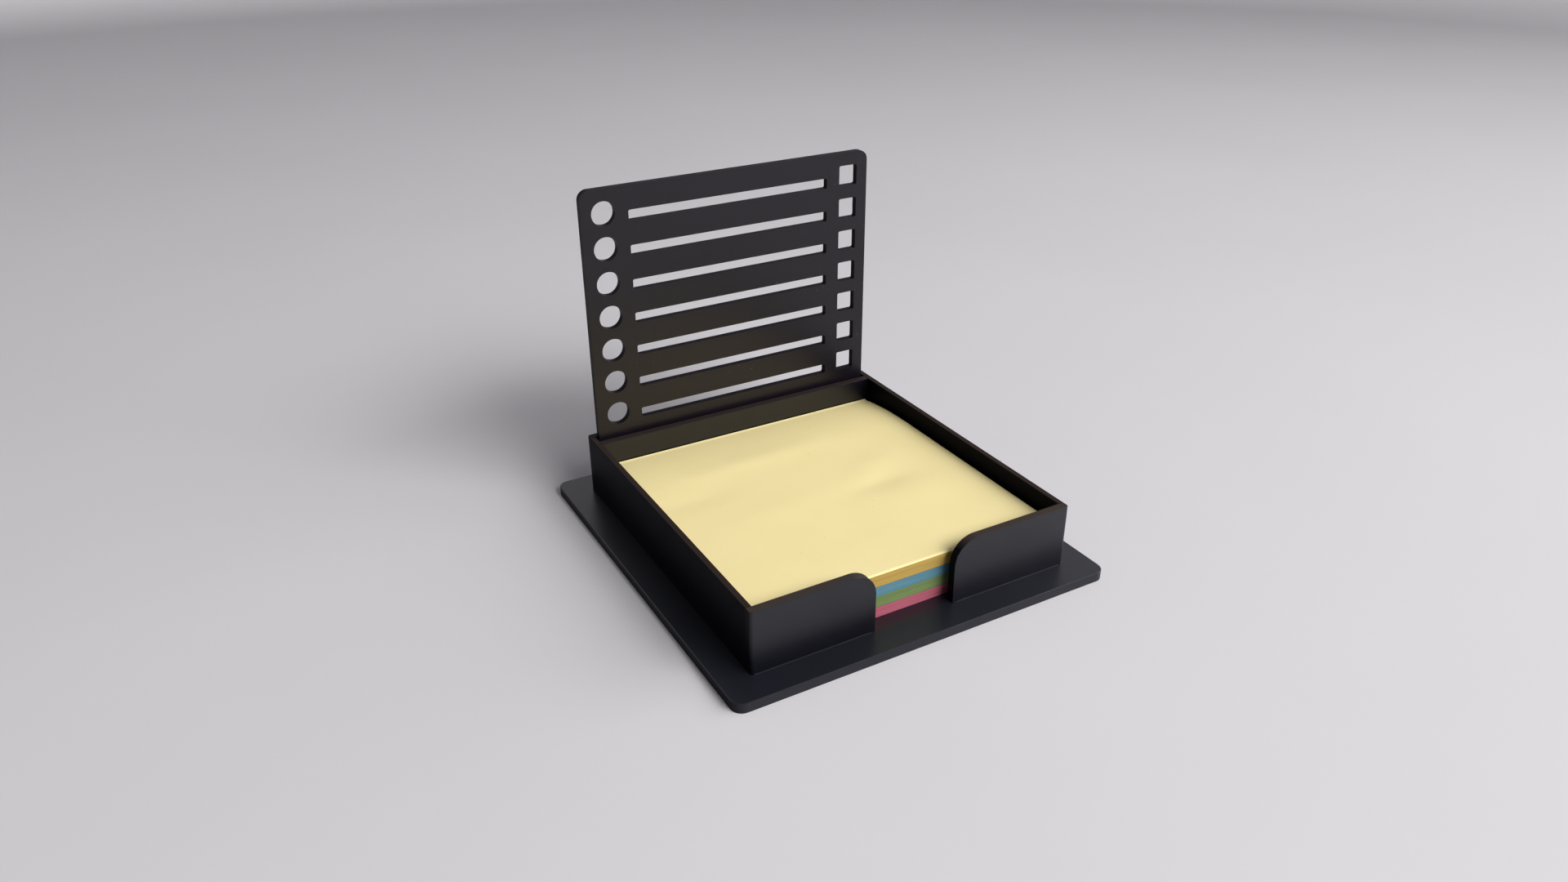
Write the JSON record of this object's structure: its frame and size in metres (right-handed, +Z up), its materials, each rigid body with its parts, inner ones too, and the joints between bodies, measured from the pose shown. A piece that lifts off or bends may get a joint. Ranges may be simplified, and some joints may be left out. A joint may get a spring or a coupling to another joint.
{
  "type": "sticky note holder",
  "caption": "Low black desk tray on a wider base plate, with a finger notch, coloured note pads inside and a lift-out writing stencil standing in a slot at the rear.",
  "frame": {"origin": "middle of the base plate's underside, on the desk", "axes": "+X to the right, -Y towards the finger notch at the front, +Z up"},
  "size_m": [0.0948, 0.1006, 0.0804],
  "materials": {
    "black_plastic": "satin",
    "pink_paper": "matt",
    "green_paper": "matt",
    "blue_paper": "matt",
    "yellow_paper": "matt"
  },
  "bodies": {
    "tray": {"base_plate": "black_plastic", "front_left_panel": "black_plastic", "front_right_panel": "black_plastic", "left_panel": "black_plastic", "right_panel": "black_plastic", "rear_panel": "black_plastic", "slot_divider": "black_plastic"},
    "stencil": {"stencil": "black_plastic"},
    "note_stack": {"pink_pad": "pink_paper", "green_pad": "green_paper", "blue_pad": "blue_paper", "yellow_pad": "yellow_paper"},
    "top_note": {"top_note": "yellow_paper"}
  },
  "joints": [
    {"name": "stencil_lift", "type": "slide", "parent": "tray", "child": "stencil", "axis": [0, 0, 1], "range_m": [0, 0.02]},
    {"name": "note_stack_lift", "type": "slide", "parent": "tray", "child": "note_stack", "axis": [0, 0, 1], "range_m": [0, 0.02]},
    {"name": "top_note_peel", "type": "hinge", "parent": "note_stack", "child": "top_note", "pos_m": [0, 0.03637, 0.01147], "axis": [-1, 0, 0], "range_deg": [0, 75]}
  ]
}
